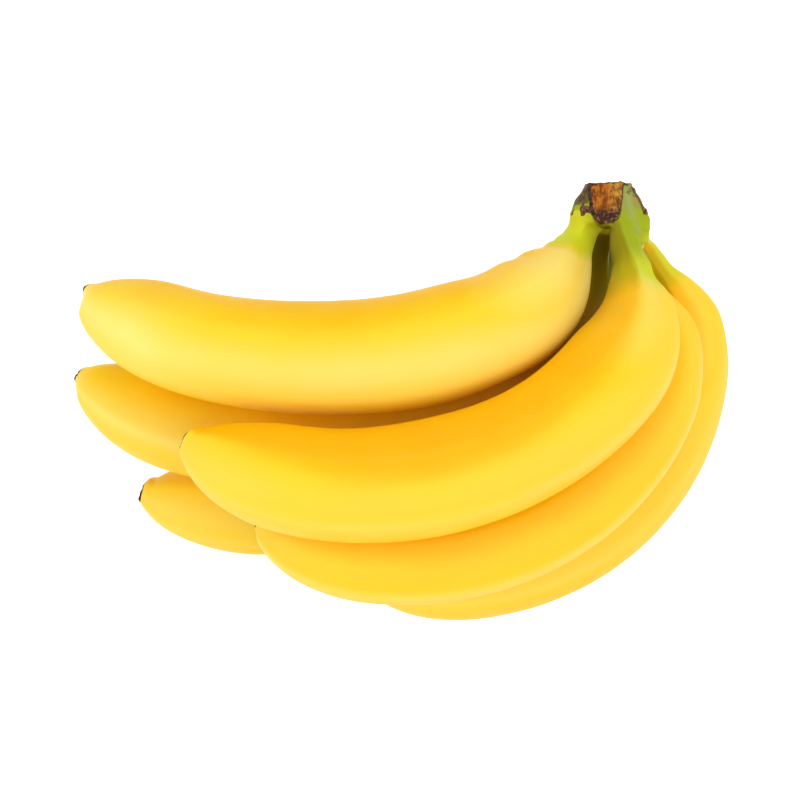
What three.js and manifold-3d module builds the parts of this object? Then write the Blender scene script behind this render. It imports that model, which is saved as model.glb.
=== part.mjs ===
// A hand of six ripe dessert bananas lying on its side on a table.
// Three fingers of the inner row and three of the outer row grow from one crown,
// the cut block of the stalk. Millimetres, +Z up, the table is Z = 0.
import * as THREE from "three";
import { ConvexGeometry } from "three/addons/geometries/ConvexGeometry.js";
import { mergeVertices } from "three/addons/utils/BufferGeometryUtils.js";
import Module from "manifold-3d";

// ---------------------------------------------------------------- driving dimensions

// Radii of a finger are taken over its five ridges.
const NECK_RADIUS = 5.2;
const TIP_LENGTH = 36; // the far end narrows over this length
const TIP_FULLNESS = 2.1; // a higher value keeps full girth for longer
const TIP_ROUNDNESS = 0.63; // a lower value gives a blunter, rounder end
const TIP_SLANT = 5; // the outer side of the end runs this far past the inner side
const SCAR_RADIUS = 3; // dried flower scar at the very tip
const TAPER = 0.06; // share of girth lost from the middle to the tip
const TAPER_START = 0.4; // share of the length where that taper begins

// The cross-section is a pentagon rounded towards a circle.
const RIDGES = 5;
const FLATNESS = 0.38; // 0 is a circle, 1 a sharp pentagon
const SIDES = 20;
const RING_STEP = 7; // between rings along the body
const TIP_RINGS = 9;

// Centre line: it turns quickly along the neck, then evenly along the back.
const NECK_BEND_LENGTH = 60;
const NECK_DROP_LENGTH = 70; // from the root to where the body lies level
const BACK_BEND_START = 25;
const CURVE_STEP = 0.5;

// Where the necks leave the crown: two rows side by side, three layers deep.
const FIRST_ROOT = new THREE.Vector3(60, 49, 81.5);
const ROW_STEP = new THREE.Vector3(10, -8, 8.5);
const LAYER_STEP = new THREE.Vector3(4.5, 8, -18);

// Height of the centre line along the body and at the tip, layer by layer.
const LAYERS = {
  top: { index: 0, body: 91, tip: 89 },
  middle: { index: 1, body: 54, tip: 55 },
  bottom: { index: 2, body: 18, tip: 18 },
};

// heading: direction of the neck in degrees, 0 along -X and 90 along -Y.
// neckTurn and backTurn: degrees turned along the neck and along the back.
// shoulder: where the neck starts to swell to full girth, and swell: over what length.
// roll: where the first ridge stands, in degrees up from the outer side of the bend.
const FINGERS = {
  inner_top: {
    row: 0, layer: LAYERS.top, heading: 72, neckTurn: -32, backTurn: -76.5,
    length: 190.5, radius: 18.2, shoulder: 4, swell: 42, roll: 14,
  },
  inner_middle: {
    row: 0, layer: LAYERS.middle, heading: 93, neckTurn: -44, backTurn: -83,
    length: 215.5, radius: 17, shoulder: 14, swell: 50, roll: 41,
  },
  inner_bottom: {
    row: 0, layer: LAYERS.bottom, heading: 89, neckTurn: -31, backTurn: -72.5,
    length: 208.5, radius: 17.6, shoulder: 3, swell: 50, roll: 18,
  },
  outer_top: {
    row: 1, layer: LAYERS.top, heading: 108, neckTurn: -37, backTurn: -105.5,
    length: 202, radius: 18, shoulder: 8, swell: 46, roll: 20,
  },
  outer_middle: {
    row: 1, layer: LAYERS.middle, heading: 113, neckTurn: -24, backTurn: -120,
    length: 205, radius: 17.9, shoulder: 10, swell: 46, roll: 9,
  },
  outer_bottom: {
    row: 1, layer: LAYERS.bottom, heading: 133, neckTurn: -34, backTurn: -116.5,
    length: 198, radius: 17.8, shoulder: 8, swell: 40, roll: 30,
  },
};

// The crown: a wedge of stalk, wider where the necks leave it, narrower at its far end.
const STALK_DIRECTION = new THREE.Vector3(0, 0.92, 0.38); // from the necks to the stalk cut
const CROWN_AXIS = new THREE.Vector3(2.5, 8, -18); // along the layers
const CROWN_RISE = 1.2; // of its base above the middle of the six roots
const CROWN_FORWARD = 2; // of its middle, towards the top layer
const CROWN_SIDESTEP = 1; // and towards the outer row
const CROWN_LENGTH = 54;
const CROWN_HEIGHT = 12;
// Half of its section on the inner row's side and half on the outer row's side, whose
// roots are lower: distance from the middle and height above the base.
const INNER_SIDE = [[7.5, CROWN_HEIGHT], [12.3, 5.2], [13, 1.5], [11, 0]];
const OUTER_SIDE = [[7, CROWN_HEIGHT], [11.5, 4.6], [13.2, 1.2], [13.2, -2.5], [11, -4]];
const END_CUT_TOP = 11; // width of the end cut beside the stalk cut
const END_CUT_BOTTOM = 5.5; // and beside the necks
const END_CUT_DEPTH = 13; // from the stalk cut down to the necks
const END_CUT_SIDESTEP = 0.8; // of its middle, towards the inner row
const END_FLARE = 8; // the sides reach full width this far behind the end cut
const FAR_WIDTH_SHARE = 0.85; // the far end is narrower than the one beside the top layer

// The first stretch of each neck belongs to the crown.
const JOINT = 6; // distance from the root at which the finger takes over
const JOINT_GAP = 0.3;
const STUB_TOP = 2.5; // all the necks start this far above the crown's base
const STUB_FLARE = 1.12; // how much wider they are there

const SKIN = { color: 0xf8d233, roughness: 0.45, metalness: 0 };
const STALK = { color: 0x8f9a45, roughness: 0.75, metalness: 0 };

// ---------------------------------------------------------------- the finger's shape

const UP = new THREE.Vector3(0, 0, 1);
const smooth = (t) => THREE.MathUtils.smoothstep(t, 0, 1);
const ramp = (t) => THREE.MathUtils.clamp(t, 0, 1);

/** Radius over the ridges at the distance s from the root. */
function girth(finger, s) {
  const swell = smooth((s - finger.shoulder) / finger.swell);
  const taper = ramp((s / finger.length - TAPER_START) / (1 - TAPER_START));
  const body =
    (NECK_RADIUS + (finger.radius - NECK_RADIUS) * swell) *
    (1 - TAPER * taper ** 2);
  const toTip = ramp((finger.length - s) / TIP_LENGTH);
  const share = (1 - (1 - toTip) ** TIP_FULLNESS) ** TIP_ROUNDNESS;
  return SCAR_RADIUS + (body - SCAR_RADIUS) * share;
}

/** How far a ring leans towards the tip on its outer side, as a share of its radius. */
function slant(finger, s) {
  return (TIP_SLANT / 2 / finger.radius) * smooth((s - finger.length) / TIP_LENGTH + 1);
}

/** Share of the ridge radius at an angle from a ridge: 1 there, less on the flats. */
function pentagon(angle) {
  const flat = (2 * Math.PI) / RIDGES;
  const offMiddle = THREE.MathUtils.euclideanModulo(angle, flat) - flat / 2;
  const sharp = Math.cos(flat / 2) / Math.cos(offMiddle);
  return 1 - FLATNESS * (1 - sharp);
}

/** The curved middle line of a finger, followed from its root by distance. */
class CentreLine extends THREE.Curve {
  constructor(finger) {
    super();
    this.finger = finger;
    this.root = rootOf(finger);
    this.points = [this.root.clone()];
    const steps = Math.ceil(finger.length / CURVE_STEP);
    this.step = finger.length / steps;
    for (let i = 0; i < steps; i++) {
      const onward = this.direction((i + 0.5) * this.step);
      this.points.push(this.points[i].clone().addScaledVector(onward, this.step));
    }
  }

  /** Height above the table: from the root to the body, then from the body to the tip. */
  height(s) {
    const { layer, length } = this.finger;
    const neck = smooth(s / NECK_DROP_LENGTH);
    const end = smooth((2 * s) / length - 1);
    return this.root.z + (layer.body - this.root.z) * neck + (layer.tip - layer.body) * end;
  }

  direction(s) {
    const { heading, neckTurn, backTurn, length } = this.finger;
    const along = ramp((s - BACK_BEND_START) / (length - BACK_BEND_START));
    const turned = heading + neckTurn * smooth(s / NECK_BEND_LENGTH) + backTurn * along;
    const angle = THREE.MathUtils.degToRad(turned);
    const half = CURVE_STEP / 2;
    const rise = (this.height(s + half) - this.height(s - half)) / CURVE_STEP;
    const level = Math.sqrt(1 - rise ** 2);
    return new THREE.Vector3(-Math.cos(angle) * level, -Math.sin(angle) * level, rise);
  }

  /** The point at a share of the length; a negative share lies inside the crown. */
  getPoint(t, target = new THREE.Vector3()) {
    if (t < 0) {
      const behind = t * this.finger.length;
      return target.copy(this.root).addScaledVector(this.direction(0), behind);
    }
    const place = t * (this.points.length - 1);
    const i = Math.min(Math.floor(place), this.points.length - 2);
    return target.lerpVectors(this.points[i], this.points[i + 1], place - i);
  }
}

function rootOf({ row, layer }) {
  return FIRST_ROOT.clone()
    .addScaledVector(ROW_STEP, row)
    .addScaledVector(LAYER_STEP, layer.index);
}

/** A straight turned body with the given rings, bent along the finger's centre line. */
function bentBody(finger, places, radiusAt) {
  const profile = places.map((s) => new THREE.Vector2(radiusAt(s), s));
  profile.unshift(new THREE.Vector2(0, places[0]));
  profile.push(new THREE.Vector2(0, places[places.length - 1]));
  const geometry = new THREE.LatheGeometry(profile, SIDES);

  const line = new CentreLine(finger);
  const roll = THREE.MathUtils.degToRad(finger.roll);
  const position = geometry.getAttribute("position");
  const vertex = new THREE.Vector3();
  for (let i = 0; i < position.count; i++) {
    vertex.fromBufferAttribute(position, i);
    const angle = Math.atan2(vertex.x, vertex.z);
    const radius = Math.hypot(vertex.x, vertex.z) * pentagon(angle);
    const out = radius * Math.cos(angle + roll);
    const onward = out * slant(finger, vertex.y);
    const along = line.direction(vertex.y);
    const outward = new THREE.Vector3().crossVectors(UP, along).normalize();
    const upward = new THREE.Vector3().crossVectors(along, outward);
    line.getPoint(vertex.y / finger.length, vertex);
    vertex.addScaledVector(along, onward);
    vertex.addScaledVector(outward, out);
    vertex.addScaledVector(upward, radius * Math.sin(angle + roll));
    position.setXYZ(i, vertex.x, vertex.y, vertex.z);
  }
  return geometry;
}

/** Distances from the root at which a finger has a ring, closer together at the tip. */
function fingerRings({ length }) {
  const tipStart = length - TIP_LENGTH;
  const bodyRings = Math.ceil((tipStart - JOINT) / RING_STEP);
  const places = [];
  for (let i = 0; i < bodyRings; i++) {
    places.push(THREE.MathUtils.lerp(JOINT, tipStart, i / bodyRings));
  }
  for (let i = 0; i <= TIP_RINGS; i++) {
    places.push(length - TIP_LENGTH * (1 - i / TIP_RINGS) ** 2);
  }
  return places;
}

function fingerGeometry(finger) {
  return bentBody(finger, fingerRings(finger), (s) => girth(finger, s));
}

// ---------------------------------------------------------------- the crown

const wasm = await Module();
wasm.setup();

function toSolid(geometry) {
  const bare = geometry.clone();
  bare.deleteAttribute("normal");
  bare.deleteAttribute("uv");
  const merged = mergeVertices(bare, 1e-3);
  return new wasm.Manifold(
    new wasm.Mesh({
      numProp: 3,
      vertProperties: new Float32Array(merged.getAttribute("position").array),
      triVerts: new Uint32Array(merged.index.array),
    }),
  );
}

function toGeometry(solid) {
  const mesh = solid.getMesh();
  const geometry = new THREE.BufferGeometry();
  geometry.setAttribute("position", new THREE.BufferAttribute(mesh.vertProperties, 3));
  geometry.setIndex(new THREE.BufferAttribute(mesh.triVerts, 1));
  geometry.computeVertexNormals();
  return geometry;
}

/** Axes of the crown: across the rows, along the layers, and up to the stalk cut. */
function crownFrame() {
  const along = CROWN_AXIS.clone().normalize();
  const across = new THREE.Vector3().crossVectors(along, STALK_DIRECTION).normalize();
  const up = new THREE.Vector3().crossVectors(across, along);
  const middle = FIRST_ROOT.clone()
    .addScaledVector(ROW_STEP, 0.5)
    .add(LAYER_STEP)
    .addScaledVector(along, -CROWN_FORWARD)
    .addScaledVector(across, CROWN_SIDESTEP)
    .addScaledVector(up, CROWN_RISE);
  return new THREE.Matrix4().makeBasis(across, along, up).setPosition(middle);
}

/** The block of stalk: a flat stalk cut on top and a flat cut at each end. */
function crownBlock() {
  const points = [];
  for (const [way, share] of [[-1, 1], [1, FAR_WIDTH_SHARE]]) {
    const addPoint = (across, behindEnd, up) => {
      const along = way * (CROWN_LENGTH / 2 - behindEnd);
      points.push(new THREE.Vector3(share * across, along, up));
    };
    for (const side of [-1, 1]) {
      const top = (side * END_CUT_TOP) / 2 - END_CUT_SIDESTEP;
      const bottom = (side * END_CUT_BOTTOM) / 2 - END_CUT_SIDESTEP;
      addPoint(top, 0, CROWN_HEIGHT);
      addPoint(bottom, 0, CROWN_HEIGHT - END_CUT_DEPTH);
    }
    for (const [out, up] of INNER_SIDE) addPoint(-out, flareAt(up), up);
    for (const [out, up] of OUTER_SIDE) addPoint(out, flareAt(up), up);
  }
  return new ConvexGeometry(points).applyMatrix4(crownFrame());
}

/** How far behind an end cut the section is whole: less at the stalk cut, full at the base. */
function flareAt(up) {
  return up === CROWN_HEIGHT ? END_FLARE / 2 : END_FLARE;
}

/** The start of a neck, from inside the crown to just before the finger. */
function neckStub(finger) {
  const frame = crownFrame();
  const up = new THREE.Vector3().setFromMatrixColumn(frame, 2);
  const base = new THREE.Vector3().setFromMatrixPosition(frame);
  const line = new CentreLine(finger);
  const rootLevel = line.root.clone().sub(base).dot(up);
  const depth = (STUB_TOP - rootLevel) / -line.direction(0).dot(up);
  const places = [-depth, 0, JOINT - JOINT_GAP];
  return bentBody(finger, places, (s) => girth(finger, s) * (s < 0 ? STUB_FLARE : 1));
}

function crownGeometry() {
  let solid = toSolid(crownBlock());
  for (const finger of Object.values(FINGERS)) solid = solid.add(toSolid(neckStub(finger)));
  return toGeometry(solid);
}

// ---------------------------------------------------------------- the hand

const hand = new THREE.Group();

function addPiece(name, geometry, finish) {
  const mesh = new THREE.Mesh(geometry, new THREE.MeshStandardMaterial(finish));
  mesh.name = name;
  hand.add(mesh);
}

addPiece("crown", crownGeometry(), STALK);
for (const [name, finger] of Object.entries(FINGERS)) {
  addPiece(`finger_${name}`, fingerGeometry(finger), SKIN);
}

// Set down on the table, with the origin under the middle of the hand.
const box = new THREE.Box3().setFromObject(hand, true);
const centre = box.getCenter(new THREE.Vector3());
hand.position.set(-centre.x, -centre.y, -box.min.z);

export default hand;
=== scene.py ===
"""A hand of six ripe bananas lying on a table: satin peel with soft ridges, green necks grown out
of one crown, the crown's dried cut faces, and a dried flower scar on each tip."""
import math
from collections import deque

import bpy
import numpy as np
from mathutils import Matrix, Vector, noise
from mathutils.bvhtree import BVHTree
from mathutils.kdtree import KDTree


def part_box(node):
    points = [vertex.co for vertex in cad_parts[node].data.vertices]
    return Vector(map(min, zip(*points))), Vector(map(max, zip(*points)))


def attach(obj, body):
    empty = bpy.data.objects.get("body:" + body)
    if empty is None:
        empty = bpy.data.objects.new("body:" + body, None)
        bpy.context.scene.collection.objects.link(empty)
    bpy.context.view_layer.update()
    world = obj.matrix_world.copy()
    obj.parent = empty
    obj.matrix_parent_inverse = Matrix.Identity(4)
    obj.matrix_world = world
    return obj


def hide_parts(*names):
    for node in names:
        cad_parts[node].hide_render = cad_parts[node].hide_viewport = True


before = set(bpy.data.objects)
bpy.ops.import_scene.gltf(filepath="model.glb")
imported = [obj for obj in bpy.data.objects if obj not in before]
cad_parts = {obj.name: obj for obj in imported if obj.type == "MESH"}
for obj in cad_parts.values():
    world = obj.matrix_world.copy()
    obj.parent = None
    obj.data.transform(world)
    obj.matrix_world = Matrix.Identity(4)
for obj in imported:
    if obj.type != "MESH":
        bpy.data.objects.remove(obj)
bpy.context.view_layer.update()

MM = 0.001
UP = np.array([0.0, 0.0, 1.0])

# ------------------------------------------------------------------ the hand's own measures

# A finger's looks. Three numbers in a row stand for the neck, the middle and the tip.
# green: how far the green runs down the neck, in mm, unripe: how green it gets, and slant: how
# much sooner it ends on the outer side of the bend.
# painted_shade: where the painted shade starts, a deeper yellow, in degrees up from the outer side
# of the bend, blend: over how many degrees it comes in, and shade_depth: how far that painted
# shade
# turns orange. under: the same painted shade for the underside. painted_crevice_shade: how brown
# the peel near the neck is painted as shade in the crevice between fingers, and on which side.
# painted_sheen, shoulder_sheen and edges: how pale the outer side, the shoulder below the neck and
# the lines of the outer and inner ridges are painted, as a highlight. olive: how far the green is
# painted duller as shade where the yellow is deep.
# crisp: how sharp the ridges are. scar: radius of the flower scar, lift: how far it sits
# towards the inner side of the bend, longer: how far the end reaches out, and crust: how far
# the scar's dark rim reaches onto the peel, all in mm.
# swells: places where the finger is fuller or slimmer: distance from the start of its middle
# line in mm, side in degrees up from the outer side of the bend, reach in mm and amount in mm.
FINGERS = {
    "finger_inner_top": dict(
        green=15, unripe=0.5, slant=0.35, olive=0, shoulder_sheen=1.1, painted_sheen=1.0, edges=(0.2, 1.2),
        painted_shade=(108, 105, 113), blend=90, shade_depth=(0.8, 0.8, 0.6), under=0.5, painted_crevice_shade=(0, 0),
        crisp=0.35, scar=1.7, lift=2.0, longer=1.3, crust=0.45,
        swells=[(6, 154, 7, 1.7), (15.5, 154, 3, 0.65), (19.5, 154, 5, 1.8), (46, 154, 12, -1.25),
                (72, -5, 27, 2.4), (107, 154, 22, 0.8), (150, 154, 14, -0.8)],
    ),
    "finger_inner_middle": dict(
        green=30, unripe=1.0, slant=0, olive=1, shoulder_sheen=0, painted_sheen=0.5, edges=(0.3, 0.3),
        painted_shade=(39, 39, 39), blend=25, shade_depth=(0.65, 0.6, 0.1), under=0, painted_crevice_shade=(1, 75),
        crisp=1.2, scar=2.3, lift=0.6, longer=1.2, crust=0.5,
        swells=[(182, -5, 22, 1.4)],
    ),
    "finger_inner_bottom": dict(
        green=30, unripe=1.0, slant=0, olive=1, shoulder_sheen=0, painted_sheen=0.4, edges=(0.3, 0.3),
        painted_shade=(92, 92, 92), blend=50, shade_depth=(0.9, 0.9, 0.8), under=0, painted_crevice_shade=(1, 80),
        crisp=0.9, scar=3.4, lift=1.3, longer=1.0, crust=0.5,
        swells=[(165, -20, 15, 1.0)],
    ),
    "finger_outer_top": dict(
        green=25, unripe=0.9, slant=0, olive=1, shoulder_sheen=0.7, painted_sheen=0.3, edges=(0.4, 0),
        painted_shade=(92, 68, 94), blend=34, shade_depth=(1.0, 1.2, 1.0), under=0, painted_crevice_shade=(1, 205),
        crisp=1.1, scar=3.7, lift=1.0, longer=0.5, crust=0.35,
        swells=[(15, 160, 9, 1.0), (14, 22, 4.5, -1.6), (120, 150, 33, 2.0)],
    ),
    "finger_outer_middle": dict(
        green=14, unripe=0.35, slant=0, olive=1, shoulder_sheen=0, painted_sheen=0.2, edges=(0.7, 0.2),
        painted_shade=(50, 62, 62), blend=50, shade_depth=(0.9, 1.0, 1.8), under=0, painted_crevice_shade=(0, 0),
        crisp=1.6, scar=2.8, lift=0.5, longer=0, crust=0.4,
        swells=[(3, 30, 9, -2.8), (15, 24, 6, -2.2), (28, 22, 10, 1.5),
                (175, -10, 25, 0.6)],
    ),
    "finger_outer_bottom": dict(
        green=14, unripe=0.35, slant=0, olive=1, shoulder_sheen=0.5, painted_sheen=0.35, edges=(0.3, 0.2),
        painted_shade=(72, 72, 72), blend=45, shade_depth=(1.1, 1.0, 1.0), under=0, painted_crevice_shade=(0, 0),
        crisp=0.9, scar=2.8, lift=0.5, longer=0, crust=0.4,
        swells=[(2, 42, 5, -0.7), (7, 42, 4.5, -1.1), (22, 42, 9, 1.9), (110, 20, 75, 1.1)],
    ),
}

# What all fingers share. Rises and waves are shares of the finger's radius, widths are radians.
RIDGES = 5
RIDGE_STEP = 2 * math.pi / RIDGES
RIDGE_STRENGTHS = np.array([0.55, 1.0, 0.75, 0.9, 0.65])  # no two of a finger are alike
RIDGE_WIDTH = 0.13
RIDGE_RISE = 0.014
FLAT_WIDTH = 0.35
FLAT_DIP = 0.35  # as a share of the ridge's rise
NECK_CORNERS = 0.6  # 1 is a full pentagon
CORNER_LEVEL = 1.07  # a pentagon's mean radius, where 1 is the middle of a side
FULLNESS = 1.012
SLOW_WAVE = 0.012
QUICK_WAVE = 0.004
WRINKLES = 17
WRINKLE_DEPTH = 0.03 * MM
SCAR_REACH = 3 * MM  # over this length the end narrows to the scar
SCAR_RIM = 0.9 * MM
SCAR_DEPTH = 0.7 * MM
FINGER_LEVELS = 3  # of subdivision

STALK_UP = Vector((0, 0.92, 0.38))  # from the necks towards the stalk cut
CROWN_RUN = Vector((2.5, 8, -18))  # from the top layer's end to the bottom layer's

# ------------------------------------------------------------------ small tools


def choose(piece):
    """Only this piece is selected and active, in object mode."""
    if bpy.context.object and bpy.context.object.mode != "OBJECT":
        bpy.ops.object.mode_set(mode="OBJECT")
    bpy.ops.object.select_all(action="DESELECT")
    piece.select_set(True)
    bpy.context.view_layer.objects.active = piece


def apply_modifier(piece, kind, **settings):
    choose(piece)
    bpy.ops.object.modifier_add(type=kind)
    modifier = piece.modifiers[-1]
    for name, value in settings.items():
        setattr(modifier, name, value)
    bpy.ops.object.modifier_apply(modifier=modifier.name)


def edit_points(piece, mask):
    """Edit mode, with only the masked vertices selected."""
    choose(piece)
    bpy.ops.object.mode_set(mode="EDIT")
    bpy.ops.mesh.select_mode(type="VERT")
    bpy.ops.mesh.select_all(action="DESELECT")
    bpy.ops.object.mode_set(mode="OBJECT")
    piece.data.vertices.foreach_set("select", np.array(mask, bool))
    bpy.ops.object.mode_set(mode="EDIT")


def points_of(piece):
    co = np.zeros(len(piece.data.vertices) * 3)
    piece.data.vertices.foreach_get("co", co)
    return co.reshape(-1, 3)


def put_points(piece, co):
    piece.data.vertices.foreach_set("co", co.ravel())
    piece.data.update()


def normals_of(piece):
    normals = np.zeros(len(piece.data.vertices) * 3)
    piece.data.vertex_normals.foreach_get("vector", normals)
    return normals.reshape(-1, 3)


def store(piece, name, values):
    """Keeps a number or a vector for each vertex, for the materials to read."""
    vector = np.ndim(values) == 2
    kind = "FLOAT_VECTOR" if vector else "FLOAT"
    kept = piece.data.attributes
    attribute = kept[name] if name in kept else kept.new(name, kind, "POINT")
    attribute.data.foreach_set("vector" if vector else "value", np.ravel(values))


def values_of(piece, name):
    values = np.zeros(len(piece.data.vertices))
    piece.data.attributes[name].data.foreach_get("value", values)
    return values


def fade(value, start, end):
    """0 up to start, 1 from end on, and smooth between. The end may be the lower of the two."""
    t = np.clip((value - start) / (end - start), 0, 1)
    return t * t * (3 - 2 * t)


def bell(x, width):
    """1 where x is 0, about a third where it is one width, next to nothing past two."""
    return np.exp(-((x / width) ** 2))


def unevenness(co, size, seed=0):
    """Smooth noise from about -1 to 1, with lumps of the given size."""
    shift = Vector((seed * 7.31, seed * 3.77, seed * 5.13))
    return np.array([noise.noise(Vector(p) / size + shift) for p in co])


def unit(v):
    return v / np.linalg.norm(v, axis=-1, keepdims=True)


def merged_copy(node, name):
    """A copy of a CAD node's mesh with its triangles joined up, as a piece of its own."""
    piece = bpy.data.objects.new(name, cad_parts[node].data.copy())
    piece.data.materials.clear()
    bpy.context.scene.collection.objects.link(piece)
    choose(piece)
    bpy.ops.mesh.customdata_custom_splitnormals_clear()
    bpy.ops.object.mode_set(mode="EDIT")
    bpy.ops.mesh.select_all(action="SELECT")
    bpy.ops.mesh.remove_doubles(threshold=0.01 * MM)
    bpy.ops.object.mode_set(mode="OBJECT")
    return piece


def pair_triangles(piece):
    """Joins the triangles in twos, into faces with four sides."""
    widest = math.radians(60)
    choose(piece)
    bpy.ops.object.mode_set(mode="EDIT")
    bpy.ops.mesh.select_all(action="SELECT")
    bpy.ops.mesh.tris_convert_to_quads(face_threshold=widest, shape_threshold=widest)
    bpy.ops.object.mode_set(mode="OBJECT")


def finish_piece(piece, node):
    """The finished piece takes the place of a CAD node on the one body."""
    choose(piece)
    bpy.ops.object.shade_smooth()
    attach(piece, "root")
    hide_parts(node)


# ------------------------------------------------------------------ the middle line of a finger


def ring_numbers(piece, start_near):
    """How many rings each vertex is from the pole at the neck: the solid is a stack of rings."""
    mesh = piece.data
    neighbours = [[] for _ in mesh.vertices]
    for edge in mesh.edges:
        a, b = edge.vertices
        neighbours[a].append(b)
        neighbours[b].append(a)
    poles = sorted(range(len(neighbours)), key=lambda i: -len(neighbours[i]))[:2]
    first = min(poles, key=lambda i: (mesh.vertices[i].co - start_near).length)
    numbers = np.full(len(neighbours), -1)
    numbers[first] = 0
    waiting = deque([first])
    while waiting:
        i = waiting.popleft()
        for j in neighbours[i]:
            if numbers[j] < 0:
                numbers[j] = numbers[i] + 1
                waiting.append(j)
    return numbers


class MiddleLine:
    """The curved middle line of a finger, from its first ring at the neck to its tip."""

    def __init__(self, piece, start_near):
        self.numbers = ring_numbers(piece, start_near)
        co = points_of(piece)
        rings = [co[self.numbers == k] for k in range(1, self.numbers.max())]
        self.centres = np.array([ring.mean(0) for ring in rings])
        steps = np.linalg.norm(np.diff(self.centres, axis=0), axis=1)
        self.places = np.concatenate([[0], np.cumsum(steps)])
        self.length = self.places[-1]
        self.girths = np.array(
            [np.linalg.norm(ring - ring.mean(0), axis=1).max() for ring in rings]
        )
        self.directions = unit(np.gradient(self.centres, self.places, axis=0))
        middle = rings[len(rings) // 2]
        _, angle, radius = self.measure(middle)  # the ridges are farthest out
        heavy = radius > np.quantile(radius, 0.7)
        turns = np.exp(1j * RIDGES * angle[heavy]).sum()
        self.ridge = np.angle(turns) / RIDGES

    def at(self, s):
        """Points and directions at the distances s. Past its ends the line runs on straight."""
        inside = np.clip(s, 0, self.length)
        i = np.searchsorted(self.places, inside, side="right") - 1
        i = np.clip(i, 0, len(self.places) - 2)
        span = (self.places[i + 1] - self.places[i])[:, None]
        t = (inside - self.places[i])[:, None] / span
        a, b = self.directions[i], self.directions[i + 1]
        along = unit(a + (b - a) * t)
        points = (2 * t**3 - 3 * t**2 + 1) * self.centres[i]
        points += (3 * t**2 - 2 * t**3) * self.centres[i + 1]
        points += (t**3 - 2 * t**2 + t) * span * a + (t**3 - t**2) * span * b
        return points + (s - inside)[:, None] * along, along

    def axes(self, s):
        """Points, and the directions along, outward from the bend and upward."""
        centre, along = self.at(s)
        outward = unit(np.cross(UP, along))
        return centre, along, outward, np.cross(along, outward)

    def girth(self, s):
        """Radius over the ridges."""
        return np.interp(s, self.places, self.girths)

    def measure(self, co):
        """Distance along the line, angle round it and distance from it, for each point."""
        marks = np.arange(-20 * MM, self.length + 2 * MM, MM)
        near = self.at(marks)[0]
        squares = (near**2).sum(1)[None, :] - 2 * co @ near.T
        s = marks[np.argmin(squares, axis=1)]
        # Each round brings s closer to where the point lies square to the line.
        for _ in range(6):
            centre, along = self.at(s)
            s = s + 0.8 * ((co - centre) * along).sum(1)
        centre, along, outward, upward = self.axes(s)
        x = ((co - centre) * outward).sum(1)
        y = ((co - centre) * upward).sum(1)
        return s, np.arctan2(y, x), np.hypot(x, y)

    def place(self, s, angle, radius):
        """The opposite of measure."""
        centre, _, outward, upward = self.axes(s)
        x = (radius * np.cos(angle))[:, None]
        y = (radius * np.sin(angle))[:, None]
        return centre + x * outward + y * upward


def off_ridge(first, angle):
    """Angle from the nearest ridge, and that ridge's number, counted from the first ridge."""
    turn = (angle - first) / RIDGE_STEP
    number = np.round(turn)
    return (turn - number) * RIDGE_STEP, number.astype(int) % RIDGES


# ------------------------------------------------------------------ the fingers


def straightened(s, angle, radius, number):
    """Where a point would be in a straight finger, each finger in a place of its own."""
    x = radius * np.cos(angle)
    y = radius * np.sin(angle)
    return np.stack([x, y, s + 0.4 * number], axis=1)


def peel_marks(piece, lines, owner, s, angle, radius):
    """What the peel's material needs to know at each point, from its place on its finger."""
    length = np.array([line.length for line in lines.values()])[owner]
    first_ridge = np.array([line.ridge for line in lines.values()])[owner]
    from_ridge, _ = off_ridge(first_ridge, angle)
    share = s / length
    down = s / MM
    from_end = (s - length) / MM
    degrees = np.degrees(angle)

    def each(name):
        return np.array([look[name] for look in FINGERS.values()])[owner]

    def from_neck_to_tip(name):
        neck, middle, tip = each(name).T
        to_middle = np.clip((share - 0.15) / 0.45, 0, 1)
        to_tip = np.clip((share - 0.6) / 0.35, 0, 1)
        return neck + (middle - neck) * to_middle + (tip - middle) * to_tip

    def past(side):
        """Degrees past a side of the finger, from -180 to 180."""
        return (degrees - side + 180) % 360 - 180

    store(piece, "straight", straightened(s, angle, radius, owner))
    reach = each("green") * (1 - each("slant") * fade(degrees, 80, 0))
    store(piece, "greenness", np.minimum(1 - down / reach, each("unripe")))

    # Painted shade: the deeper yellow covers one side, and the underside where the finger's
    # "under" says so.
    into = past(from_neck_to_tip("painted_shade"))
    half = each("blend") / 2
    shaded_side = fade(into, -half, half) * fade(into, 160, 100)
    below = each("under") * fade(degrees, 12, -23) * fade(degrees, -150, -110)
    below *= 0.6 + 0.4 * fade(down, 45, 100)
    store(piece, "painted_shade", np.maximum(shaded_side * from_neck_to_tip("shade_depth"), below))
    # Painted shade on the green: how far it turns to its shaded copies on the side with the deeper
    # yellow.
    store(piece, "olive", shaded_side * each("olive"))
    # Painted shade: brown on the peel near the neck, on the side that lies in the crevice between
    # fingers.
    amount, side = each("painted_crevice_shade").T
    store(piece, "painted_crevice_shade", amount * fade(down, 72, 32) * bell(past(side), 50))

    # Painted highlight: pale lines on the ridges, but not on the top of the finger or on its neck.
    outer, inner = each("edges").T
    edges = np.where(degrees < 90, outer, inner)
    edges = edges * fade(np.abs(degrees - 90), 30, 50) * fade(down, 22, 42)
    store(piece, "ridge_highlight", bell(from_ridge, RIDGE_WIDTH) * edges)

    # Painted highlight: a pale stripe on the outer side, a pale shoulder and a pale tip.
    shoulder_sheen = fade(down, 62, 32) * fade(down, 8, 16) * bell(degrees - 84, 42)
    shoulder_sheen *= 1 - 0.9 * shaded_side * each("olive")
    sheen_stripe = bell(degrees - 45 + 12 * fade(down, 75, 35), 27)
    near_tip = fade(from_end, -50, -20) * (1 - shaded_side)
    painted_sheen = each("painted_sheen") * (sheen_stripe + 0.3 * near_tip)
    store(piece, "painted_sheen", np.maximum(painted_sheen, each("shoulder_sheen") * shoulder_sheen))


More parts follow.
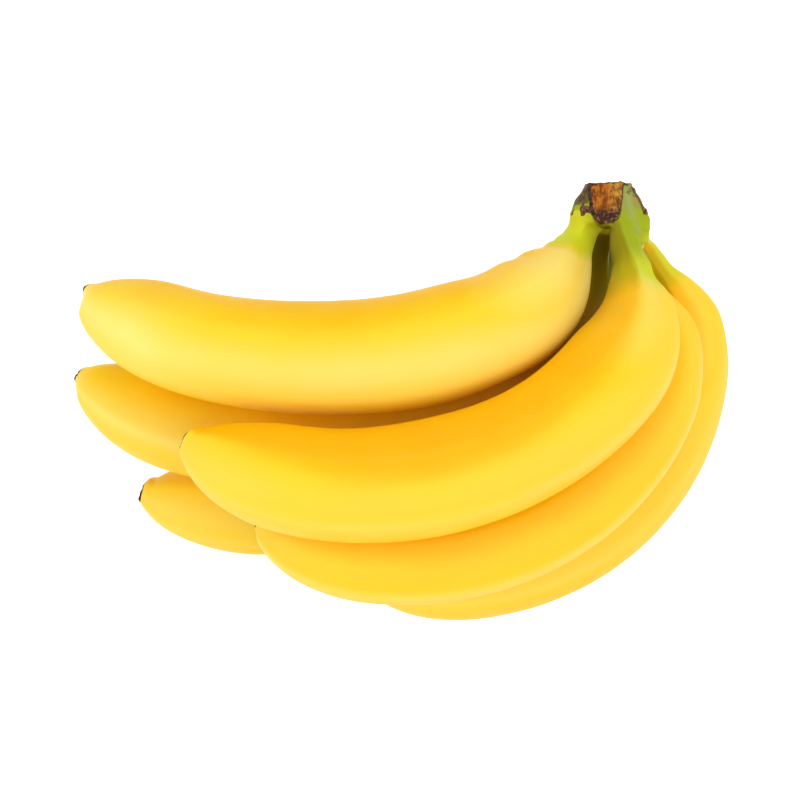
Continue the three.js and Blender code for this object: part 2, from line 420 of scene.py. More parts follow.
def fleshed_out(line, number, look, s, angle, radius, full):
    """The radius with its ridges, flats, wrinkles and swells."""
    from_ridge, ridge = off_ridge(line.ridge, angle)
    crisp = look["crisp"]
    on_neck = fade(s, 44 * MM, 14 * MM)

    # Ridges stand a little proud and the flats between them are a little hollow; the neck is
    # nearly five-sided.
    from_flat = RIDGE_STEP / 2 - np.abs(from_ridge)
    strength = RIDGE_STRENGTHS[(ridge + number) % RIDGES]
    crest = bell(from_ridge, RIDGE_WIDTH) - FLAT_DIP * bell(from_flat, FLAT_WIDTH)
    corner = 1 / np.cos(from_flat) - CORNER_LEVEL
    radius = radius * (1 + RIDGE_RISE * crisp * strength * crest)
    radius = radius * (1 + NECK_CORNERS * on_neck * crisp * corner * full)
    radius = radius * FULLNESS
    straight = straightened(s, angle, radius, number)
    radius = radius * (1 + SLOW_WAVE * unevenness(straight, 38 * MM, 1) * full)
    radius = radius * (1 + QUICK_WAVE * unevenness(straight, 9 * MM, 2) * full)

    # Fine lengthwise wrinkles on the neck.
    wrinkle = np.sin(WRINKLES * angle + 2.5 * unevenness(straight, 14 * MM, 3))
    radius = radius + WRINKLE_DEPTH * wrinkle * on_neck * full

    for place, side, reach, amount in look["swells"]:
        facing = 0.5 + 0.5 * np.cos(angle - math.radians(side))
        radius = radius + amount * MM * bell(s - place * MM, reach * MM) * facing**4 * full
    return radius


def shape_finger(piece, node, number, look, lines):
    line = lines[node]
    pair_triangles(piece)
    apply_modifier(piece, "SUBSURF", levels=FINGER_LEVELS, render_levels=FINGER_LEVELS)
    s, angle, radius = line.measure(points_of(piece))
    from_tip = line.length - s
    full = radius / np.maximum(line.girth(s), MM)  # 1 on the skin, 0 on the middle line
    radius = fleshed_out(line, number, look, s, angle, radius, full)

    # The flower scar: the end narrows to it, high on the inner side of the bend, and its dried
    # rim stands out round a sunken middle.
    end = fade(from_tip, SCAR_REACH, 0)
    narrow = look["scar"] * MM / line.girth(line.length)
    radius = radius * (1 + end * (narrow - 1))
    around = np.stack([np.cos(angle) * 1.6, np.sin(angle) * 1.6, s * 0], 1)
    jag = unevenness(around, 1.0, 4 + number) + 0.5 * unevenness(around, 0.4, 14 + number)
    rim = bell(from_tip, SCAR_RIM) * full
    radius = radius + rim * MM * 0.3 * jag
    disc = (from_tip < 0.2 * MM) * fade(full, 0.9, 0.5)
    s = s + rim * MM * (0.5 + 0.5 * jag) - disc * SCAR_DEPTH

    co = line.place(s + end * look["longer"] * MM, angle, radius)
    outward = line.axes(s)[2]
    co -= outward * (end * look["lift"] * MM)[:, None]
    co[:, 2] = np.maximum(co[:, 2], 0)  # nothing reaches below the table
    put_points(piece, co)
    peel_marks(piece, lines, np.full(len(co), number), s, angle, radius)
    crust = look["crust"] * MM * (1 + 0.3 * jag)
    store(piece, "scar", fade(from_tip - crust, 0.2 * MM, -0.2 * MM))
    finish_piece(piece, node)


def slim_under_collar(banana, line):
    """Where the crown's collar covers the neck, the neck draws in under it."""
    s, angle, radius = line.measure(points_of(banana))
    under = fade(s, COLLAR_FULL + 2 * MM, COLLAR_FULL)
    put_points(banana, line.place(s, angle, radius * (1 - 0.12 * under)))


# ------------------------------------------------------------------ the crown

# A collar is the start of a finger, made again as a part of the crown. Distances run along the
# finger's middle line.
COLLAR_RINGS = 5
COLLAR_BACK = 1.5 * MM  # how far it reaches back into the crown
COLLAR_START = 3 * MM  # from here on it settles onto the finger
COLLAR_FULL = 10.5 * MM  # from here on it lies on the finger's own surface
COLLAR_END = 17 * MM
COLLAR_PROUD = 0.04 * MM  # how far it stands off that surface
COLLAR_SUNK = 0.3 * MM  # how much lower its end is
NECK_REACH = 2  # a point of the crown is on a neck if it is within so many radii of its middle

VOXEL = 0.4 * MM
CROWN_HEIGHT = 12 * MM
FILLET = 1.6 * MM
DEEP_FOLD = (10.8 * MM, 17.4 * MM)  # across and below the stalk cut: it fills in twice as far
# Skin between the block and the hindmost necks: across, below the stalk cut and behind the end
# cut, and its radius, in mm.
FILLING = (10.8, 15.8, 11.5, 2.7)
# Where the necks bend aside below the crown: across, below the stalk cut, reach, how far behind
# the end cut and the reach that way, and how far to the right and up, in mm.
NUDGES = (
    (-1.1, 17, 3.5, 0, 99, 1.7, 0),
    (-0.9, 18, 3.0, 0, 99, 0, 3.2),
    (-12, 12.5, 2.5, 0, 99, 0.5, 0),
    (14.2, 17.6, 1.5, 0, 99, 0.6, 0),
    (11.5, 22, 7, 19.5, 8, -3.6, 0),
)
# The end cut's outline: how far below the stalk cut, and from where to where across, in mm.
END_CUT_OUTLINE = (
    (0, -5.5, 5.5),
    (7, -5.0, 4.6),
    (10, -4.3, 4.2),
    (12, -3.2, 3.3),
    (13, -2.2, 2.2),
)
CUT_THICKNESS = 0.4 * MM  # skin this near a cut's plane, and facing its way, is the cut
BRINK = 0.3 * MM  # end cut and stalk cut both start this far from the edge between them

# Strokes on the crown's skin: from where to where, each across and below the stalk cut, and the
# half width, in mm. A bruise with a half width below zero shows only in spots.
BRUISES = (
    ((-7.6, 6.8), (-7.3, 9.2), 0.55),
    ((-6.4, 8.0), (-5.6, 8.4), 1.0),
    ((12.3, 8.2), (12.6, 9.0), 0.75),
    ((8.2, 1.0), (12.2, 8.0), 0.15),
    ((-9.6, 5.0), (-11.2, 9.0), -0.25),
    ((4.6, 0.2), (6.8, 0.8), 0.4),
)
BRUISE_DEPTH = 12 * MM  # they lie no farther than this behind the end cut
PALE_STRIP = ((6.6, 3), (8.6, 10.5), 1.2)
PALE_STRIP_BELOW = ((8.6, 10.5), (10.6, 16), 0.9)
# Painted shade: the stroke on the neck beside the end cut and the fold below the cut are darkened
# as shade in the crevice.
NECK_SHADE_STROKE = ((-5.6, 10.5), (-3.2, 15), 1.3)
FOLD_SHADE = ((-0.9, 16.2), (0.1, 17.2), 1.9)
FOLD_SHADE_EDGE = 0.8  # over this much, inside its half width, it fades
RIPE_SPOT = (12.6, 17.3, 2)  # a spot, and its half width


def flat_face(node, towards):
    """Middle and normal of the flat CAD face that faces a direction best."""
    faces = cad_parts[node].data.polygons
    facing = [face.normal.dot(towards.normalized()) for face in faces]
    flat = [face for face, share in zip(faces, facing) if share > max(facing) - 0.001]
    areas = np.array([face.area for face in flat])
    middles = np.array([face.center for face in flat])
    return areas @ middles / areas.sum(), np.array(flat[0].normal)


def collar_copy(node, line):
    """The first stretch of a finger, closed at both ends and reaching back into the crown."""
    piece = merged_copy(node, node + "_collar")
    co = points_of(piece)
    back = (line.numbers <= 1)[:, None]
    put_points(piece, co - back * COLLAR_BACK * line.directions[0])
    edit_points(piece, line.numbers > COLLAR_RINGS)
    bpy.ops.mesh.delete(type="VERT")
    bpy.ops.mesh.select_all(action="DESELECT")
    bpy.ops.mesh.select_non_manifold()
    bpy.ops.mesh.edge_face_add()
    bpy.ops.object.mode_set(mode="OBJECT")
    return piece


def distance_to(points, others):
    """How far each point is from the nearest of the others."""
    tree = KDTree(len(others))
    for i, p in enumerate(others):
        tree.insert(p, i)
    tree.balance()
    return np.array([tree.find(p)[2] for p in points])


class CrownPlace:
    """The crown's own directions and its three cut faces."""

    def __init__(self):
        self.stalk_cut, self.up = flat_face("crown", STALK_UP)
        self.top_end, facing_out = flat_face("crown", -CROWN_RUN)
        self.far_end, _ = flat_face("crown", CROWN_RUN)
        self.along = -facing_out
        self.across = np.cross(self.along, self.up)

    def measure(self, co):
        """Across from the end cut's middle, behind the end cut and above the base."""
        off = co - self.top_end
        height = (co - self.stalk_cut) @ self.up + CROWN_HEIGHT
        return off @ self.across, off @ self.along, height

    def spot(self, across, behind, height):
        """The opposite of measure, for one point."""
        rise = height - CROWN_HEIGHT - (self.top_end - self.stalk_cut) @ self.up
        return self.top_end + self.across * across + self.along * behind + self.up * rise

    def before_far_end(self, co):
        """How far each point still is from the plane of the far end."""
        return (self.far_end - co) @ self.along


def grown_share(crown):
    """1 where necks and block grow together, 0 on the cuts and near the stalk."""
    co = points_of(crown)
    across, behind, height = crown_place.measure(co)
    share = fade(CROWN_HEIGHT - height, 1.5 * MM, 5.5 * MM)
    share *= fade(-inside_end_cut(across, behind, height), 0.5 * MM, 2.5 * MM)
    return share * fade(crown_place.before_far_end(co), 1.5 * MM, 4.5 * MM)


def swell(crown, amount):
    """Moves the skin outward where necks and block grow together, twice as far at the fold."""
    across, _, height = crown_place.measure(points_of(crown))
    fold = np.hypot(across - DEEP_FOLD[0], CROWN_HEIGHT - DEEP_FOLD[1] - height)
    amount = amount * grown_share(crown) * (1 + bell(fold, 3 * MM))
    put_points(crown, points_of(crown) + normals_of(crown) * amount[:, None])


def grow_together(lines):
    """The crown's block and the starts of the necks, joined in one skin."""
    crown = merged_copy("crown", "cut_crown")
    collars = [collar_copy(node, line) for node, line in lines.items()]
    x, down, behind, radius = FILLING
    where = crown_place.spot(x * MM, behind * MM, CROWN_HEIGHT - down * MM)
    bpy.ops.mesh.primitive_ico_sphere_add(subdivisions=4, radius=radius * MM, location=where)
    filling = bpy.context.object
    choose(crown)
    for part in [*collars, filling]:
        part.select_set(True)
    bpy.ops.object.join()
    apply_modifier(crown, "REMESH", mode="VOXEL", voxel_size=VOXEL)

    # Necks and block grow into each other: swollen, joined and shrunk back, they fill the
    # folds between them. The cuts keep their edges.
    swell(crown, FILLET)
    apply_modifier(crown, "REMESH", mode="VOXEL", voxel_size=VOXEL)
    swell(crown, -FILLET)
    group = crown.vertex_groups.new(name="grown")
    for i, w in enumerate(grown_share(crown)):
        group.add([i], float(w), "REPLACE")
    apply_modifier(crown, "SMOOTH", factor=0.5, iterations=30, vertex_group="grown")
    apply_modifier(crown, "SMOOTH", factor=0.5, iterations=2)
    return crown


def nearest_necks(co, lines, favour=1):
    """For each point: the finger it belongs to, its place along and round that finger, and its
    distance from the middle line in radii. A favour over 1 widens the first finger's share."""
    best = np.full(len(co), np.inf)
    found = np.zeros((4, len(co)))
    for number, line in enumerate(lines.values()):
        s, angle, radius = line.measure(co)
        share = radius / line.girth(s) / (favour if number == 0 else 1)
        found = np.where(share < best, [np.full(len(co), number), s, angle, radius], found)
        best = np.minimum(best, share)
    owner, s, angle, radius = found
    return owner.astype(int), s, angle, radius, best


def crown_piece(lines, bananas):
    crown = grow_together(lines)
    co = points_of(crown)
    owner, s, angle, radius, share = nearest_necks(co, lines)

    # Past the joint the collar settles onto the finger and ends just under its surface.
    on_neck = share < NECK_REACH
    settle = fade(s, COLLAR_START, COLLAR_FULL)
    rise = COLLAR_PROUD - COLLAR_SUNK * fade(s, COLLAR_END - 3 * MM, COLLAR_END - 0.5 * MM)
    for number, banana in enumerate(bananas):
        tree = BVHTree.FromObject(banana, bpy.context.evaluated_depsgraph_get())
        for i in np.nonzero((owner == number) & (s > COLLAR_START) & on_neck)[0]:
            hit, normal, _, _ = tree.find_nearest(Vector(co[i]))
            goal = np.array(hit + normal * rise[i])
            co[i] += settle[i] * (goal - co[i])
    put_points(crown, co)
    edit_points(crown, (s > COLLAR_END) & on_neck)
    bpy.ops.mesh.delete(type="VERT")
    bpy.ops.object.mode_set(mode="OBJECT")

    crown_marks(crown, lines)
    shape_cuts(crown)
    finish_piece(crown, "crown")
    return crown


def soften(piece, name, rounds):
    """Evens a stored number out over the surface."""
    ends = np.array([edge.vertices for edge in piece.data.edges])
    ends = np.concatenate([ends, ends[:, ::-1]])
    count = np.bincount(ends[:, 0], minlength=len(piece.data.vertices))
    values = values_of(piece, name)
    for _ in range(rounds):
        values = 0.5 * (values + np.bincount(ends[:, 0], values[ends[:, 1]]) / count)
    store(piece, name, values)


def nudge(piece):
    """Small bends of the necks where they leave the crown."""
    co = points_of(piece)
    across, behind, height = crown_place.measure(co)
    for x, down, reach, back, depth, right, upward in NUDGES:
        off = np.hypot(across - x * MM, CROWN_HEIGHT - down * MM - height)
        push = bell(off, reach * MM) * bell(behind - back * MM, depth * MM) * MM
        co += push[:, None] * (right * crown_place.across + upward * crown_place.up)
    put_points(piece, co)


def inside_end_cut(across, behind, height):
    """How far inside the end cut's outline a point is; below zero outside it."""
    depth, left, right = np.array(END_CUT_OUTLINE).T * MM
    down = CROWN_HEIGHT - height
    from_left = across - np.interp(down, depth, left)
    from_right = np.interp(down, depth, right) - across
    inside = np.minimum(np.minimum(from_left, from_right), depth[-1] - down)
    return np.where(behind < 2 * MM, inside, -5 * MM)


def inside_flat_cuts(co, normals, height):
    """The same for the cut towards the stalk and the far end."""
    cut = (np.abs(height - CROWN_HEIGHT) < CUT_THICKNESS) & (normals @ crown_place.up > 0.75)
    far = (np.abs(crown_place.before_far_end(co)) < CUT_THICKNESS) & (height > 0)
    cut |= far & (normals @ crown_place.along > 0.75)
    return np.where(cut, distance_to(co, co[~cut]), -distance_to(co, co[cut]))


def from_stroke(spots, start, end):
    """How far each spot is from a straight stroke."""
    run = np.subtract(end, start)
    t = np.clip((spots - start) @ run / (run @ run), 0, 1)[:, None]
    return np.linalg.norm(spots - start - t * run, axis=1)


def stroke(spots, start, end, width):
    """1 on the stroke, and less to either side of it."""
    return bell(from_stroke(spots, start, end), width)


def crown_marks(crown, lines):
    """What the crown's material needs to know at each point."""
    co = points_of(crown)
    owner, s, angle, radius, _ = nearest_necks(co, lines, favour=1.5)
    peel_marks(crown, lines, owner, s, angle, radius)
    for name in ("greenness", "painted_shade", "olive", "ridge_highlight", "painted_sheen"):
        soften(crown, name, rounds=60)
    store(crown, "scar", np.zeros(len(co)))

    across, behind, height = crown_place.measure(co)
    store(crown, "crown_place", np.stack([across, behind, height], 1))
    store(crown, "across", across / MM)
    store(crown, "height", height / MM)
    ragged = 0.5 * unevenness(co, 2.4 * MM, 15) + 0.25 * unevenness(co, 0.9 * MM, 16)
    cut_marks(crown, ragged)
    skin_marks(crown, ragged)


def cut_marks(crown, ragged):
    """How far inside the cuts each point is."""
    co = points_of(crown)
    across, behind, height = crown_place.measure(co)
    end = inside_end_cut(across, behind, height) + ragged * 0.7 * MM
    flat = inside_flat_cuts(co, normals_of(crown), height)
    brink = np.hypot(behind, CROWN_HEIGHT - height) - BRINK * (1 - ragged)
    store(crown, "end_cut", np.minimum(end, brink) / MM)
    store(crown, "flat_cut", np.minimum(flat, brink) / MM)


def skin_marks(crown, ragged):
    """Where the skin is dry, lighter in a strip, green and bruised, and where painted shade
    darkens the fold below the end cut and a stroke on the neck beside it.
    """
    across, behind, height = crown_place.measure(points_of(crown))

    # Towards the stalk the skin dries, all at once on the left and little by little on the right.
    right = fade(across, -2 * MM, 4 * MM)
    low = (4.6 - 6.6 * right) * MM
    high = low + (2.2 + 11 * right) * MM
    store(crown, "dryness", fade(height, low, high) + 0.6 * ragged)

    spots = np.stack([across, CROWN_HEIGHT - height], 1) / MM
    strip = np.maximum(stroke(spots, *PALE_STRIP), 0.7 * stroke(spots, *PALE_STRIP_BELOW))
    store(crown, "strip", strip)
    # Painted shade: the fold below the end cut, and more faintly a stroke on the neck beside it.
    *fold, width = FOLD_SHADE
    dark = fade(from_stroke(spots, *fold), width, width - FOLD_SHADE_EDGE)
    dark *= fade(behind, 0, MM)  # not on the end cut's own face
    dark = np.maximum(dark, 0.3 * stroke(spots, *NECK_SHADE_STROKE))
    store(crown, "painted_crevice_shade", np.maximum(values_of(crown, "painted_crevice_shade"), dark))
    *middle, width = RIPE_SPOT
    ripe = bell(np.linalg.norm(spots - middle, axis=1), width)
    green = values_of(crown, "greenness") * (1 - 0.25 * ripe)
    store(crown, "greenness", np.maximum(green, 0.95 * fade(height, 2.2 * MM, 4.7 * MM)))

    bruise = [width - from_stroke(spots, start, end) for start, end, width in BRUISES]
    bruise = np.max(bruise, axis=0) + 1.5 * ragged
    store(crown, "bruise", np.where(behind < BRUISE_DEPTH, np.maximum(bruise, -5), -5))


def shape_cuts(crown):
    """Dried rims stand up round the cuts, and the fibres between them have shrunk back."""
    co, normals = points_of(crown), normals_of(crown)
    across, behind, height = crown_place.measure(co)
    inside = np.maximum(values_of(crown, "end_cut"), values_of(crown, "flat_cut"))  # in mm
    lump = unevenness(co, 2.2 * MM, 11)
    grain = unevenness(np.stack([across, behind, height * 0.3], 1), 0.9 * MM, 12)
    pits = np.abs(unevenness(co, 0.9 * MM, 13))
    rim = bell(inside - 0.1, 0.7)
    sunk = fade(inside, 0, 1.5)
    lift = rim * (0.22 + 0.2 * lump) - sunk * (0.45 + 0.2 * grain + 0.25 * pits)
    lift += 0.35 * fade(values_of(crown, "bruise"), 0, 0.6) * (1 + 0.6 * lump)
    co = co + normals * (lift * MM)[:, None]
    top = fade(height, 8 * MM, 12 * MM) * (0.1 + 0.3 * lump) * MM
    put_points(crown, co + crown_place.up * top[:, None])


# ------------------------------------------------------------------ finishes


def colour(red, green, blue):
    """A colour as it looks on a screen, 0 to 255, in the renderer's linear terms."""
    shares = np.array([red, green, blue]) / 255
    linear = np.where(shares <= 0.04045, shares / 12.92, ((shares + 0.055) / 1.055) ** 2.4)
    return (*linear, 1)


class Finish:
    """A material, put together node by node."""

    def __init__(self, name):
        self.material = bpy.data.materials.new(name)
        self.material.use_nodes = True
        self.tree = self.material.node_tree
        self.shader = self.tree.nodes["Principled BSDF"]

    def plug(self, value, socket):
        if isinstance(value, bpy.types.NodeSocket):
            self.tree.links.new(value, socket)
        else:
            socket.default_value = value

    def add(self, kind, inputs, **settings):
        node = self.tree.nodes.new("ShaderNode" + kind)
        for name, value in settings.items():
            setattr(node, name, value)
        for key, value in inputs.items():
            self.plug(value, node.inputs[key])
        return node

    def number(self, name):
        """A number stored on the piece."""
        return self.add("Attribute", {}, attribute_name=name).outputs["Fac"]

    def vector(self, name, stretch=(1, 1, 1)):
        """A place stored on the piece."""
        place = self.add("Attribute", {}, attribute_name=name).outputs["Vector"]
        return self.add("Mapping", {"Vector": place, "Scale": stretch}).outputs["Vector"]

    def noise(self, vector, size, detail=3.0, rough=0.55):
        """Noise from 0 to 1 with lumps of the given size in metres."""
        inputs = {"Vector": vector, "Scale": 1 / size, "Detail": detail, "Roughness": rough}
        return self.add("TexNoise", inputs).outputs["Fac"]

    def sum(self, *values):
        return self.chain("ADD", values)

    def product(self, *values):
        return self.chain("MULTIPLY", values)

    def most(self, *values):
        return self.chain("MAXIMUM", values)

    def chain(self, operation, values):
        result = values[0]
        for value in values[1:]:
            node = self.add("Math", {0: result, 1: value}, operation=operation)
            result = node.outputs[0]
        return result

    def ramp(self, value, low, high, start=0.0, end=1.0):
        """start below low, end above high, and smooth between them."""
        inputs = {"Value": value, "From Min": low, "From Max": high}
        inputs.update({"To Min": start, "To Max": end})
        node = self.add("MapRange", inputs, interpolation_type="SMOOTHSTEP")
        return node.outputs["Result"]

    def mix(self, share, a, b):
        """Colour a where the share is 0 and colour b where it is 1."""
        return self.add("Mix", {0: share, 6: a, 7: b}, data_type="RGBA").outputs[2]

    def bump(self, height, strength, distance, below=None):
        inputs = {"Height": height, "Strength": strength, "Distance": distance}
        if below is not None:
            inputs["Normal"] = below
        return self.add("Bump", inputs).outputs["Normal"]


# The peel's colours.
YELLOW = colour(248, 200, 10)
PALE_YELLOW = colour(250, 214, 44)
# The deep yellow serves both the real lengthwise streaks and the painted shade on one side and the
# underside; the orange after it is only painted shade.
DEEP_YELLOW = colour(248, 184, 0)
SHADE_ORANGE = colour(250, 162, 0)
# A painted highlight: this cream marks where the peel is painted pale as sheen.
SHEEN_CREAM = colour(250, 226, 118)
YELLOW_GREEN = colour(206, 208, 36)
# Shaded copies of the two greens, painted where the green side lies in shade.
SHADED_YELLOW_GREEN = colour(186, 168, 4)
GREEN = colour(152, 166, 20)
SHADED_GREEN = colour(134, 128, 0)
# Painted shade: a dark brown for the crevices between the necks and for the crown's fold.
CREVICE_SHADE_BROWN = colour(92, 68, 6)
SCAR = colour(64, 46, 28)
SCAR_EDGE = colour(132, 98, 36)

# The crown's skin.
OLIVE = colour(146, 150, 76)
BROWN_OLIVE = colour(104, 92, 50)
YELLOW_OLIVE = colour(158, 142, 68)
PALE_GREEN = colour(156, 168, 90)
DRY_BROWN = colour(74, 50, 28)
BRUISE_EDGE = colour(92, 62, 30)
CORK = colour(64, 42, 24)
PALE_CORK = colour(136, 96, 66)

# The cuts.
FIBRE = colour(188, 114, 36)
PALE_FIBRE = colour(198, 148, 62)
OLD_FIBRE = colour(120, 60, 18)
PIT = colour(84, 42, 16)
CRUMB = colour(66, 38, 28)
PALE_CRUMB = colour(136, 98, 70)
RIM = colour(50, 32, 24)
PALE_RIM = colour(92, 62, 42)


def peel_colour(finish):
    """Ripe peel: painted shade as a more orange yellow on one side, painted highlight as cream,
    green towards the neck, painted brown shade in the crevices and a dried flower scar.
    """
    place = finish.vector("straight")
    streaks = finish.noise(finish.vector("straight", (1, 1, 0.06)), 1.6 * MM)
    clouds = finish.noise(place, 28 * MM, 2.0)
    # Painted shade: the deeper yellow and orange on one side and on the underside.
    side = finish.sum(finish.number("painted_shade"), finish.product(clouds, 0.6), -0.3)
    result = finish.mix(finish.ramp(clouds, 0.3, 0.7, 0.6, 0.95), PALE_YELLOW, YELLOW)
    result = finish.mix(finish.ramp(side, 0.0, 1.0), result, DEEP_YELLOW)
    result = finish.mix(finish.ramp(side, 0.9, 1.7), result, SHADE_ORANGE)
    result = finish.mix(finish.ramp(streaks, 0.35, 0.8, 0, 0.12), result, DEEP_YELLOW)
    # Painted highlight: pale cream on the outer side, the shoulder, the tip and the ridge lines.
    painted_sheen = finish.sum(finish.number("painted_sheen"), finish.product(finish.number("ridge_highlight"), 0.9))
    painted_sheen = finish.product(painted_sheen, finish.ramp(clouds, 0.3, 0.7, 0.6, 0.85))
    result = finish.mix(painted_sheen, result, SHEEN_CREAM)

    green = finish.sum(finish.number("greenness"), finish.product(clouds, 0.4), -0.2)
    green = finish.sum(green, finish.product(streaks, 0.16), -0.08)
    # Painted shade: the greens turn to their shaded copies on the side with the deeper yellow.
    dull = finish.ramp(finish.number("olive"), 0.2, 0.8)
    lime = finish.mix(dull, YELLOW_GREEN, SHADED_YELLOW_GREEN)
    result = finish.mix(finish.ramp(green, -0.05, 0.5), result, lime)
    result = finish.mix(finish.ramp(green, 0.45, 1.0), result, finish.mix(dull, GREEN, SHADED_GREEN))

    # Painted shade: brown where the fingers crowd together near the neck and in the crown's fold.
    result = finish.mix(finish.product(finish.number("painted_crevice_shade"), 0.75), result, CREVICE_SHADE_BROWN)
    scar = finish.number("scar")
    result = finish.mix(finish.ramp(scar, 0.05, 0.45), result, SCAR_EDGE)
    return finish.mix(finish.ramp(scar, 0.35, 0.8), result, SCAR)


def peel_relief(finish):
    """Pores and faint lengthwise fibres."""
    pores = finish.noise(finish.vector("straight"), 0.9 * MM, 2.0)
    fibres = finish.noise(finish.vector("straight", (1, 1, 0.05)), 1.1 * MM, 2.0)
    below = finish.bump(pores, 0.12, 0.1 * MM)
    return finish.bump(fibres, 0.22, 0.15 * MM, below)


def soft_plant(finish):
    """A little light goes through the skin, and its shine is faint."""
    inputs = finish.shader.inputs
    inputs["Subsurface Weight"].default_value = 0.1
    inputs["Subsurface Radius"].default_value = (1.0, 0.75, 0.15)
    inputs["Subsurface Scale"].default_value = 2.5 * MM
    inputs["Specular IOR Level"].default_value = 0.12


def peel_finish():
    finish = Finish("banana peel")
    finish.plug(peel_colour(finish), finish.shader.inputs["Base Color"])
    haze = finish.noise(finish.vector("straight"), 7 * MM)
    rough = finish.ramp(haze, 0.3, 0.7, 0.40, 0.5)
    rough = finish.most(rough, finish.product(finish.number("scar"), 0.85))
    finish.plug(rough, finish.shader.inputs["Roughness"])
    finish.plug(peel_relief(finish), finish.shader.inputs["Normal"])
    soft_plant(finish)
    return finish.material


def crown_skin(finish, place):
    """Green skin that dries to olive and brown towards the stalk, with corky patches."""
    fine = finish.noise(place, 1.2 * MM, 4.0, 0.65)
    blotch = finish.noise(place, 4 * MM, 3.0)
    dry = finish.sum(finish.number("dryness"), finish.product(blotch, 0.5), -0.25)
    across = finish.number("across")
    left = finish.ramp(across, -4.0, 2.0, 1, 0)
    olive = finish.mix(left, OLIVE, BROWN_OLIVE)
    slope = finish.sum(across, finish.product(fine, 1.6), -0.8)
    olive = finish.mix(finish.ramp(slope, 7.6, 9.0), olive, YELLOW_OLIVE)
    skin = finish.mix(finish.ramp(dry, 0.15, 0.7), peel_colour(finish), olive)
    skin = finish.mix(finish.product(finish.number("strip"), 0.7), skin, PALE_GREEN)
    brown = finish.sum(dry, finish.product(fine, 1.4), finish.product(left, 0.15), -0.7)
    skin = finish.mix(finish.ramp(brown, 0.9, 1.25, 0, 0.8), skin, DRY_BROWN)
    cork = finish.mix(finish.ramp(fine, 0.42, 0.62), CORK, PALE_CORK)
    bruise = finish.number("bruise")
    skin = finish.mix(finish.ramp(bruise, -0.5, -0.1), skin, BRUISE_EDGE)
    return finish.mix(finish.ramp(bruise, 0.0, 0.3), skin, cork)


def cut_flesh(finish, place):
    """Dried orange-brown fibres, dark and crumbly at the bottom of the end cut."""
    streaks = finish.noise(finish.vector("crown_place", (1, 1, 0.33)), 1.5 * MM, 4.0, 0.7)
    pits = finish.noise(place, 1.0 * MM, 3.0, 0.7)
    patches = finish.noise(place, 3.2 * MM, 2.0)
    to_right = finish.ramp(finish.number("across"), 0.0, 3.5)
    fresh = finish.mix(to_right, FIBRE, PALE_FIBRE)
    aside = finish.sum(finish.number("across"), 0.9)
    core = finish.ramp(finish.product(aside, aside), 0.0, 1.2, -0.07, 0)
    dull = finish.sum(streaks, finish.product(patches, 0.5), core, -0.25)
    flesh = finish.mix(finish.ramp(dull, 0.36, 0.6), OLD_FIBRE, fresh)
    flesh = finish.mix(finish.ramp(pits, 0.34, 0.46, 0.9, 0), flesh, PIT)
    crumbs = finish.mix(finish.ramp(pits, 0.52, 0.62), CRUMB, PALE_CRUMB)
    low = finish.sum(finish.number("height"), finish.product(streaks, 2.0), -1.0)
    return finish.mix(finish.ramp(low, 2.2, 5.2, 1, 0), flesh, crumbs)


def crown_finish():
    finish = Finish("crown skin and cut fibres")
    place = finish.vector("crown_place")
    edge = finish.product(finish.noise(place, 1.6 * MM), 1.6)
    inside = finish.most(finish.number("end_cut"), finish.number("flat_cut"))
    thin = finish.ramp(finish.number("across"), -4.5, -1.0, 0, 0.7)
    rim_wide = finish.sum(inside, edge, thin)
    skin, flesh = crown_skin(finish, place), cut_flesh(finish, place)
    result = finish.mix(finish.ramp(inside, -0.2, 0.2), skin, flesh)
    rim = finish.product(finish.ramp(inside, -0.7, -0.2), finish.ramp(rim_wide, 1.3, 1.8, 1, 0))
    bark = finish.ramp(finish.noise(place, 1.3 * MM), 0.35, 0.7)
    result = finish.mix(rim, result, finish.mix(bark, RIM, PALE_RIM))

    finish.plug(result, finish.shader.inputs["Base Color"])
    rough = finish.ramp(inside, -0.6, 0.2, 0.5, 0.85)
    finish.plug(rough, finish.shader.inputs["Roughness"])
    pits = finish.noise(place, 0.9 * MM, 3.0, 0.7)
    depth = finish.ramp(inside, -0.5, 0.5, 0.1, 0.6)
    relief = finish.bump(pits, depth, 0.3 * MM, peel_relief(finish))
    finish.plug(relief, finish.shader.inputs["Normal"])
    soft_plant(finish)
    return finish.material


# ------------------------------------------------------------------ the hand

crown_place = CrownPlace()
crown_middle = sum(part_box("crown"), Vector()) / 2
bananas = [merged_copy(node, node.replace("finger", "banana")) for node in FINGERS]
lines = {node: MiddleLine(piece, crown_middle) for node, piece in zip(FINGERS, bananas)}
for number, (node, look) in enumerate(FINGERS.items()):
    shape_finger(bananas[number], node, number, look, lines)
crown = crown_piece(lines, bananas)
peel = peel_finish()
for banana, line in zip(bananas, lines.values()):
    slim_under_collar(banana, line)
    nudge(banana)
    banana.data.materials.append(peel)
nudge(crown)
crown.data.materials.append(crown_finish())

# ------------------------------------------------------------------ table, light and camera


TABLE_SIZE = 6
TABLE_DROP = 0.05 * MM  # keeps the table's face clear of the fruit's lowest points
AIM = Vector((0, 0, 0.05))
SOFTBOXES = (  # name, place, size and watts
    ("key_softbox", (0.3, -0.85, 1.05), 1.1, 4.7),
    ("top_softbox", (0.0, 0.5, 1.15), 0.9, 3.9),
    ("left_softbox", (-1.0, -0.4, 0.4), 0.7, 3.4),
    ("right_softbox", (0.8, -0.4, 0.8), 0.7, 1.9),
)


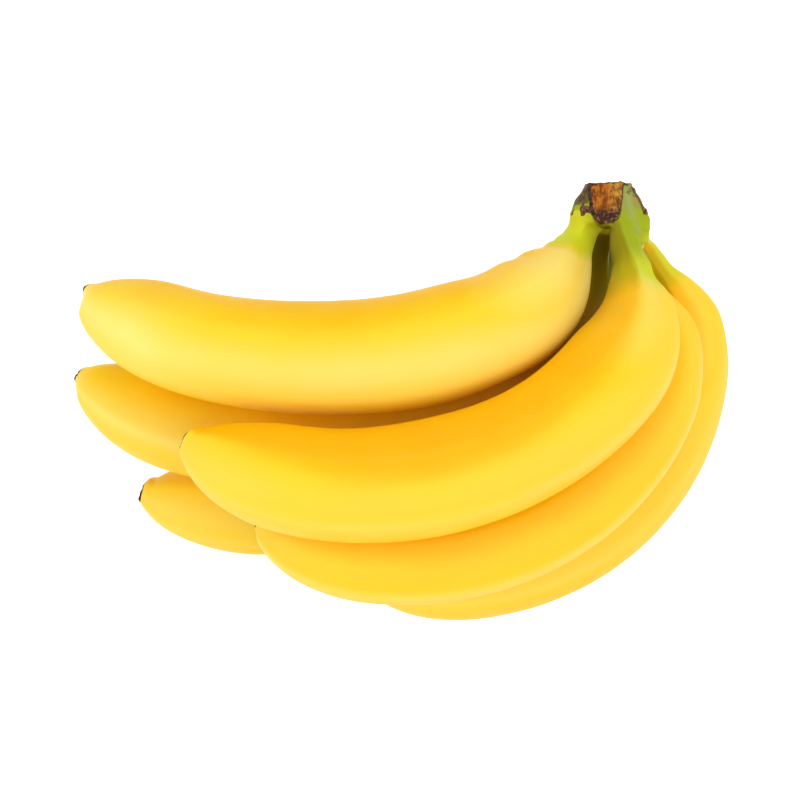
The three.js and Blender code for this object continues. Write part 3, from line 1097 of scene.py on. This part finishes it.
def table():
    """A white table. It glows to the eye and in reflections, so that it stays plain white."""
    bpy.ops.mesh.primitive_plane_add(size=TABLE_SIZE, location=(0, 0, -TABLE_DROP))
    floor = bpy.context.object
    floor.name = "table_top"
    finish = Finish("white table")
    inputs = finish.shader.inputs
    inputs["Base Color"].default_value = (0.9, 0.9, 0.9, 1)
    inputs["Roughness"].default_value = 0.9
    inputs["Emission Color"].default_value = (1, 1, 1, 1)
    rays = finish.add("LightPath", {}).outputs
    seen = finish.most(rays["Is Camera Ray"], rays["Is Glossy Ray"])
    finish.plug(finish.product(seen, 0.55), inputs["Emission Strength"])
    floor.data.materials.append(finish.material)


def white_room():
    """White all round: full white to the eye, softer as a light."""
    world = bpy.data.worlds.new("white room")
    bpy.context.scene.world = world
    world.use_nodes = True
    nodes, links = world.node_tree.nodes, world.node_tree.links
    back = nodes["Background"]
    back.inputs["Color"].default_value = (1, 1, 1, 1)
    path = nodes.new("ShaderNodeLightPath")
    level = nodes.new("ShaderNodeMapRange")
    level.inputs["To Min"].default_value = 0.65
    level.inputs["To Max"].default_value = 1.0
    links.new(path.outputs["Is Camera Ray"], level.inputs["Value"])
    links.new(level.outputs["Result"], back.inputs["Strength"])


def softbox(name, place, size, watts):
    data = bpy.data.lights.new(name, "AREA")
    data.size = size
    data.energy = watts
    lamp = bpy.data.objects.new(name, data)
    lamp.location = place
    lamp.rotation_euler = (AIM - Vector(place)).to_track_quat("-Z", "Y").to_euler()
    bpy.context.scene.collection.objects.link(lamp)


def camera():
    elevation = math.radians(64)
    distance = 0.7333
    middle = Vector((-0.0031, -0.0009, 0.0487))
    data = bpy.data.cameras.new("camera")
    data.lens = 100
    data.sensor_width = 36
    eye = bpy.data.objects.new("camera", data)
    back = Vector((0, -math.cos(elevation), math.sin(elevation)))
    eye.location = middle + distance * back
    eye.rotation_euler = (math.pi / 2 - elevation, 0, 0)
    bpy.context.scene.collection.objects.link(eye)
    bpy.context.scene.camera = eye


table()
white_room()
for lamp in SOFTBOXES:
    softbox(*lamp)
camera()
bpy.context.scene.view_settings.view_transform = "Standard"
